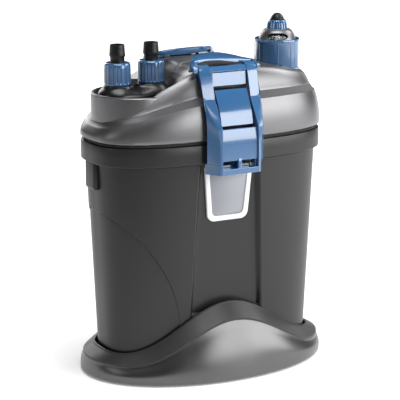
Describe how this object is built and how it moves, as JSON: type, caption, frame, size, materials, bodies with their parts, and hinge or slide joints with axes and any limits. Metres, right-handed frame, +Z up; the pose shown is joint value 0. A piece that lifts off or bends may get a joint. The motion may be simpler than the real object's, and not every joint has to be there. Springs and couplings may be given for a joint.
{
  "type": "canister filter",
  "caption": "External canister filter: dark oval container on a wave-topped foot, grey clip-on lid with lift-out hose unit, carrying loops and a lift-out heater with dial.",
  "frame": {"origin": "on the ground under the middle of the foot, at the bottom centre of the bounding box", "axes": "+Z up, +X towards the heater end, -X towards the hose end, -Y the front as pictured"},
  "size_m": [0.292, 0.196, 0.392],
  "materials": {
    "dark_shell": "satin moulded plastic",
    "lid_grey": "metallic grey satin gloss",
    "blue_plastic": "gloss",
    "black_plastic": "gloss",
    "rubber": "matt",
    "badge_white": "gloss",
    "badge_grey": "brushed look",
    "steel": "satin",
    "glass": "clear",
    "drum_black": "satin",
    "inner_grey": "satin",
    "foam_blue": "open foam",
    "foam_black": "open foam",
    "ceramic": "rough, stands for ceramic media",
    "magnet": "sintered"
  },
  "bodies": {
    "base": {"foot_plinth": "dark_shell", "foot_pad_1": "rubber", "foot_pad_2": "rubber", "foot_pad_3": "rubber", "foot_pad_4": "rubber", "container": "dark_shell", "badge_frame": "badge_white", "badge_plate": "badge_grey", "lid_seal": "rubber", "media_basket_1": "inner_grey", "media_basket_2": "inner_grey", "media_basket_3": "inner_grey", "media_block_1": "foam_blue", "media_block_2": "foam_black", "media_block_3": "ceramic"},
    "lid": {"lid_shell": "lid_grey", "head_plate": "inner_grey", "motor_housing": "black_plastic", "volute_cover": "inner_grey", "volute_screw_1": "steel", "volute_screw_2": "steel", "volute_screw_3": "steel", "rotor_shaft": "steel", "shaft_bush_lower": "rubber", "shaft_bush_upper": "rubber", "pump_cable_gland": "black_plastic", "front_hinge_pin": "steel", "rear_hinge_pin": "steel", "heater_collar": "blue_plastic"},
    "rotor": {"impeller": "inner_grey", "rotor_magnet": "magnet"},
    "front_clip": {"front_clip_frame": "blue_plastic", "front_clip_catch": "blue_plastic"},
    "rear_clip": {"rear_clip_frame": "blue_plastic", "rear_clip_catch": "blue_plastic"},
    "front_loop": {"front_handle": "blue_plastic"},
    "rear_loop": {"rear_handle": "blue_plastic"},
    "hose_unit": {"hose_unit_body": "black_plastic", "hose_unit_seal": "rubber", "inlet_nozzle": "black_plastic", "outlet_nozzle": "black_plastic", "prefilter_cage": "inner_grey", "prefilter_foam": "foam_blue"},
    "inlet_nut": {"inlet_nut": "blue_plastic"},
    "outlet_nut": {"outlet_nut": "blue_plastic"},
    "heater": {"heater_plug": "black_plastic", "heater_seal": "rubber", "heater_dome": "lid_grey", "dial_window": "glass", "heater_cable_gland": "black_plastic", "heater_tube": "glass", "heating_element": "steel"},
    "dial": {"dial_knob": "blue_plastic", "dial_drum": "drum_black"}
  },
  "joints": [
    {"name": "lid_lift", "type": "slide", "parent": "base", "child": "lid", "axis": [0, 0, 1], "range_m": [0, 0.26], "deforming": ["front_clip_catch", "rear_clip_catch"]},
    {"name": "front_clip_swing", "type": "hinge", "parent": "lid", "child": "front_clip", "pos_m": [0, -0.055, 0.344], "axis": [-1, 0, 0], "range_deg": [0, 100]},
    {"name": "rear_clip_swing", "type": "hinge", "parent": "lid", "child": "rear_clip", "pos_m": [0, 0.055, 0.344], "axis": [1, 0, 0], "range_deg": [0, 100]},
    {"name": "front_handle_fold", "type": "hinge", "parent": "lid", "child": "front_loop", "pos_m": [0, -0.055, 0.344], "axis": [-1, 0, 0], "range_deg": [-75, 0]},
    {"name": "rear_handle_fold", "type": "hinge", "parent": "lid", "child": "rear_loop", "pos_m": [0, 0.055, 0.344], "axis": [1, 0, 0], "range_deg": [-75, 0]},
    {"name": "hose_unit_lift", "type": "slide", "parent": "lid", "child": "hose_unit", "axis": [0, 0, 1], "range_m": [0, 0.28]},
    {"name": "inlet_nut_turn", "type": "hinge", "parent": "hose_unit", "child": "inlet_nut", "pos_m": [-0.1036, 0, 0.338], "axis": [0, 0, 1], "range_deg": [0, 360]},
    {"name": "outlet_nut_turn", "type": "hinge", "parent": "hose_unit", "child": "outlet_nut", "pos_m": [-0.0628, 0, 0.338], "axis": [0, 0, 1], "range_deg": [0, 360]},
    {"name": "heater_lift", "type": "slide", "parent": "lid", "child": "heater", "axis": [0, 0, 1], "range_m": [0, 0.25]},
    {"name": "temperature_dial", "type": "hinge", "parent": "heater", "child": "dial", "pos_m": [0.097, 0, 0.378], "axis": [0, 0, 1], "range_deg": [-130, 130]},
    {"name": "impeller_spin", "type": "hinge", "parent": "lid", "child": "rotor", "pos_m": [0.02, 0, 0.243], "axis": [0, 0, 1], "continuous": true}
  ]
}
